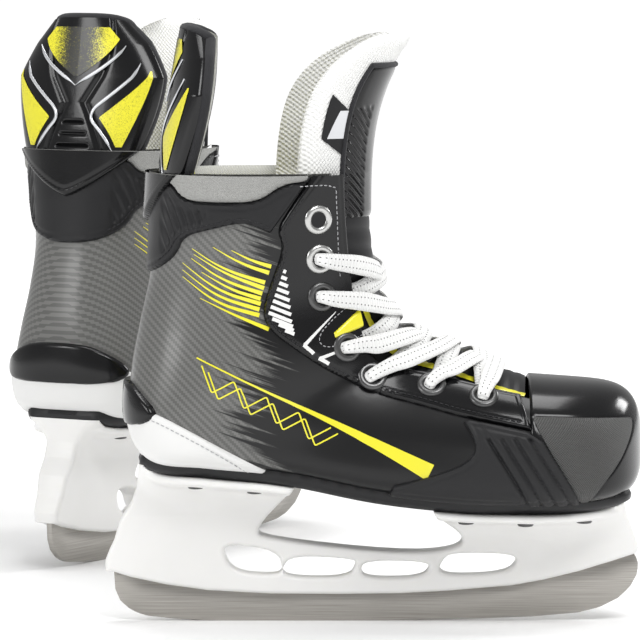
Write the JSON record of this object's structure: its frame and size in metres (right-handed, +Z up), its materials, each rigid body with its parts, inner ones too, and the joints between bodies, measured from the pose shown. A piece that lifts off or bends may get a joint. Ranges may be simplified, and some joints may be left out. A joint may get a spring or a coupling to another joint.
{
  "type": "ice hockey skates",
  "caption": "Pair of laced ice hockey skates with steel runners, open plastic holders, stiff boots, tongues and tendon guards.",
  "frame": {"origin": "middle of the pair seen from above, on the ice under the runners", "axes": "+Z up; the right skate points its toe along +X, with its outer side towards -Y; the left skate stands on the +Y side, turned 59 degrees from +X towards +Y"},
  "size_m": [0.2674, 0.3998, 0.243],
  "materials": {
    "steel_runner": "ground stainless steel, fine grinding lines along it",
    "holder_plastic": "white moulded nylon, satin",
    "outsole_plastic": "black rigid moulded sole",
    "quarter_carbon": "grey twill carbon print that fades to black, with yellow streaks",
    "toe_cap_plastic": "black gloss moulding",
    "heel_gloss": "black gloss patch",
    "heel_white": "white stitched synthetic",
    "strap_rubber": "black ribbed synthetic overlay",
    "edge_pad": "grey soft edge padding",
    "liner_fabric": "yellow patterned liner",
    "footbed_foam": "black foam footbed",
    "facing_gloss": "black gloss eyelet facing, stitched",
    "grommet_metal": "rolled eyelets, two bare and five blackened",
    "panel_rubber": "black ribbed rubber panel",
    "tongue_cloth": "black woven tongue",
    "tongue_face_synthetic": "black tongue facing",
    "tongue_felt": "white pressed felt",
    "guard_gloss": "black gloss moulding with yellow insets",
    "lace_cotton": "white flat woven lace with black tracer"
  },
  "bodies": {
    "right_boot": {"right_runner": "steel_runner", "right_holder": "holder_plastic", "right_outsole": "outsole_plastic", "right_quarter_shell": "quarter_carbon", "right_toe_cap": "toe_cap_plastic", "right_heel_patch": "heel_gloss", "right_heel_wrap": "heel_white", "right_collar_strap": "strap_rubber", "right_comfort_edge": "edge_pad", "right_liner": "liner_fabric", "right_footbed": "footbed_foam", "right_facing_lateral": "facing_gloss", "right_facing_medial": "facing_gloss", "right_grommets_lateral": "grommet_metal", "right_grommets_medial": "grommet_metal", "right_side_panel_lateral": "panel_rubber", "right_side_panel_medial": "panel_rubber", "right_tongue_lower": "tongue_cloth", "right_lace": "lace_cotton"},
    "right_tongue_top": {"right_tongue_face": "tongue_face_synthetic", "right_tongue_felt": "tongue_felt"},
    "right_guard": {"right_tendon_guard": "guard_gloss", "right_guard_lining": "liner_fabric"},
    "left_boot": {"left_runner": "steel_runner", "left_holder": "holder_plastic", "left_outsole": "outsole_plastic", "left_quarter_shell": "quarter_carbon", "left_toe_cap": "toe_cap_plastic", "left_heel_patch": "heel_gloss", "left_heel_wrap": "heel_white", "left_collar_strap": "strap_rubber", "left_comfort_edge": "edge_pad", "left_liner": "liner_fabric", "left_footbed": "footbed_foam", "left_facing_lateral": "facing_gloss", "left_facing_medial": "facing_gloss", "left_grommets_lateral": "grommet_metal", "left_grommets_medial": "grommet_metal", "left_side_panel_lateral": "panel_rubber", "left_side_panel_medial": "panel_rubber", "left_tongue_lower": "tongue_cloth", "left_lace": "lace_cotton"},
    "left_tongue_top": {"left_tongue_face": "tongue_face_synthetic", "left_tongue_felt": "tongue_felt"},
    "left_guard": {"left_tendon_guard": "guard_gloss", "left_guard_lining": "liner_fabric"}
  },
  "joints": [
    {"name": "right_tongue_flex", "type": "hinge", "parent": "right_boot", "child": "right_tongue_top", "pos_m": [0.00472, -0.15543, 0.184], "axis": [0, 1, 0], "range_deg": [-4, 18], "stiffness_Nm_per_rad": 2},
    {"name": "right_guard_flex", "type": "hinge", "parent": "right_boot", "child": "right_guard", "pos_m": [-0.06728, -0.15543, 0.186], "axis": [0, 1, 0], "range_deg": [-16, 0], "stiffness_Nm_per_rad": 4},
    {"name": "left_tongue_flex", "type": "hinge", "parent": "left_boot", "child": "left_tongue_top", "pos_m": [-0.07199, 0.08023, 0.184], "axis": [-0.8572, 0.515, 0], "range_deg": [-4, 18], "stiffness_Nm_per_rad": 2},
    {"name": "left_guard_flex", "type": "hinge", "parent": "left_boot", "child": "left_guard", "pos_m": [-0.10907, 0.01851, 0.186], "axis": [-0.8572, 0.515, 0], "range_deg": [-16, 0], "stiffness_Nm_per_rad": 4},
    {"name": "left_lift", "type": "slide", "parent": "right_boot", "child": "left_boot", "axis": [0, 0, 1], "range_m": [0, 0.26]}
  ]
}
